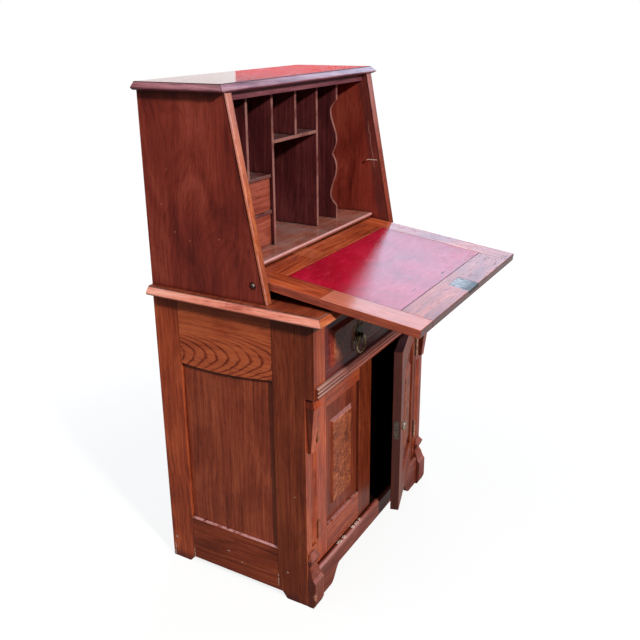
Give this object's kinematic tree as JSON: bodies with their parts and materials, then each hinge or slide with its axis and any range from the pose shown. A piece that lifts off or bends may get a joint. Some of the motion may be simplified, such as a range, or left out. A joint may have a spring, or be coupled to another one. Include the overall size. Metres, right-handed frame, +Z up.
{
  "type": "drop-front desk",
  "caption": "Wooden drop-front desk with a leather-lined fall, pigeonholes and small drawers over a long drawer and a cupboard with doors.",
  "frame": {"origin": "on the floor, under the middle of the desk's box with the fall open", "axes": "+Z up; the desk faces -Y; +X is on the right of someone who stands in front of it"},
  "size_m": [0.707, 0.6597, 1.2025],
  "materials": {
    "case_wood": "polished dark red-brown hardwood",
    "frame_wood": "polished orange-brown hardwood",
    "inner_wood": "thinly polished dark hardwood",
    "burr_wood": "polished burr veneer",
    "leather": "worn crimson writing leather",
    "brass": "tarnished brass",
    "steel": "dull grey steel"
  },
  "bodies": {
    "case": {"top_board": "case_wood", "upper_side_left": "case_wood", "upper_side_right": "case_wood", "top_rail": "case_wood", "side_panel_left": "case_wood", "side_panel_right": "case_wood", "corbel_left": "case_wood", "corbel_right": "case_wood", "foot_block_left": "case_wood", "foot_block_right": "case_wood", "drawer_rail": "case_wood", "lipping_left": "frame_wood", "lipping_right": "frame_wood", "base_top": "frame_wood", "side_frame_left": "frame_wood", "side_frame_right": "frame_wood", "post_left": "frame_wood", "post_right": "frame_wood", "plinth": "frame_wood", "upper_back": "inner_wood", "interior_floor": "inner_wood", "divider_far_left": "inner_wood", "divider_left": "inner_wood", "divider_centre": "inner_wood", "divider_right": "inner_wood", "divider_scalloped": "inner_wood", "centre_shelf": "inner_wood", "drawer_shelf": "inner_wood", "drawer_parting": "inner_wood", "base_floor": "inner_wood", "base_back": "inner_wood", "dust_board": "inner_wood", "pivot_screw_left": "steel", "pivot_screw_right": "steel"},
    "fall": {"fall_stile_left": "frame_wood", "fall_stile_right": "frame_wood", "fall_front_rail": "frame_wood", "fall_back_rail": "frame_wood", "fall_panel": "case_wood", "writing_leather": "leather", "fall_lock": "steel"},
    "lower_small_drawer": {"lower_small_drawer_front": "frame_wood", "lower_small_drawer_box": "inner_wood"},
    "upper_small_drawer": {"upper_small_drawer_front": "frame_wood", "upper_small_drawer_box": "inner_wood"},
    "long_drawer": {"drawer_front": "burr_wood", "drawer_box": "inner_wood", "pull_plate_left": "brass", "pull_plate_right": "brass"},
    "left_pull": {"pull_ring_left": "brass"},
    "right_pull": {"pull_ring_right": "brass"},
    "left_door": {"left_door_frame": "frame_wood", "left_door_panel": "burr_wood", "left_door_lower_hinge": "brass", "left_door_upper_hinge": "brass"},
    "right_door": {"right_door_frame": "frame_wood", "right_door_panel": "burr_wood", "right_door_lower_hinge": "brass", "right_door_upper_hinge": "brass", "right_door_lock": "steel"}
  },
  "joints": [
    {"name": "fall_pivot", "type": "hinge", "parent": "case", "child": "fall", "pos_m": [0, 0.04926, 0.7869], "axis": [-1, 0, 0], "range_deg": [0, 107.8]},
    {"name": "long_drawer_slide", "type": "slide", "parent": "case", "child": "long_drawer", "axis": [0, -1, 0], "range_m": [0, 0.25]},
    {"name": "lower_small_drawer_slide", "type": "slide", "parent": "case", "child": "lower_small_drawer", "axis": [0, 1, 0], "range_m": [-0.14, 0]},
    {"name": "upper_small_drawer_slide", "type": "slide", "parent": "case", "child": "upper_small_drawer", "axis": [0, 1, 0], "range_m": [-0.14, 0]},
    {"name": "left_door_hinge", "type": "hinge", "parent": "case", "child": "left_door", "pos_m": [-0.2806, -0.08157, 0.32005], "axis": [0, 0, -1], "range_deg": [0, 100]},
    {"name": "right_door_hinge", "type": "hinge", "parent": "case", "child": "right_door", "pos_m": [0.2806, -0.08157, 0.32005], "axis": [0, 0, 1], "range_deg": [-16.4, 83.6]},
    {"name": "left_pull_swing", "type": "hinge", "parent": "long_drawer", "child": "left_pull", "pos_m": [-0.136, -0.11547, 0.6389], "axis": [-1, 0, 0], "range_deg": [0, 110]},
    {"name": "right_pull_swing", "type": "hinge", "parent": "long_drawer", "child": "right_pull", "pos_m": [0.136, -0.11547, 0.6389], "axis": [-1, 0, 0], "range_deg": [0, 110]}
  ]
}
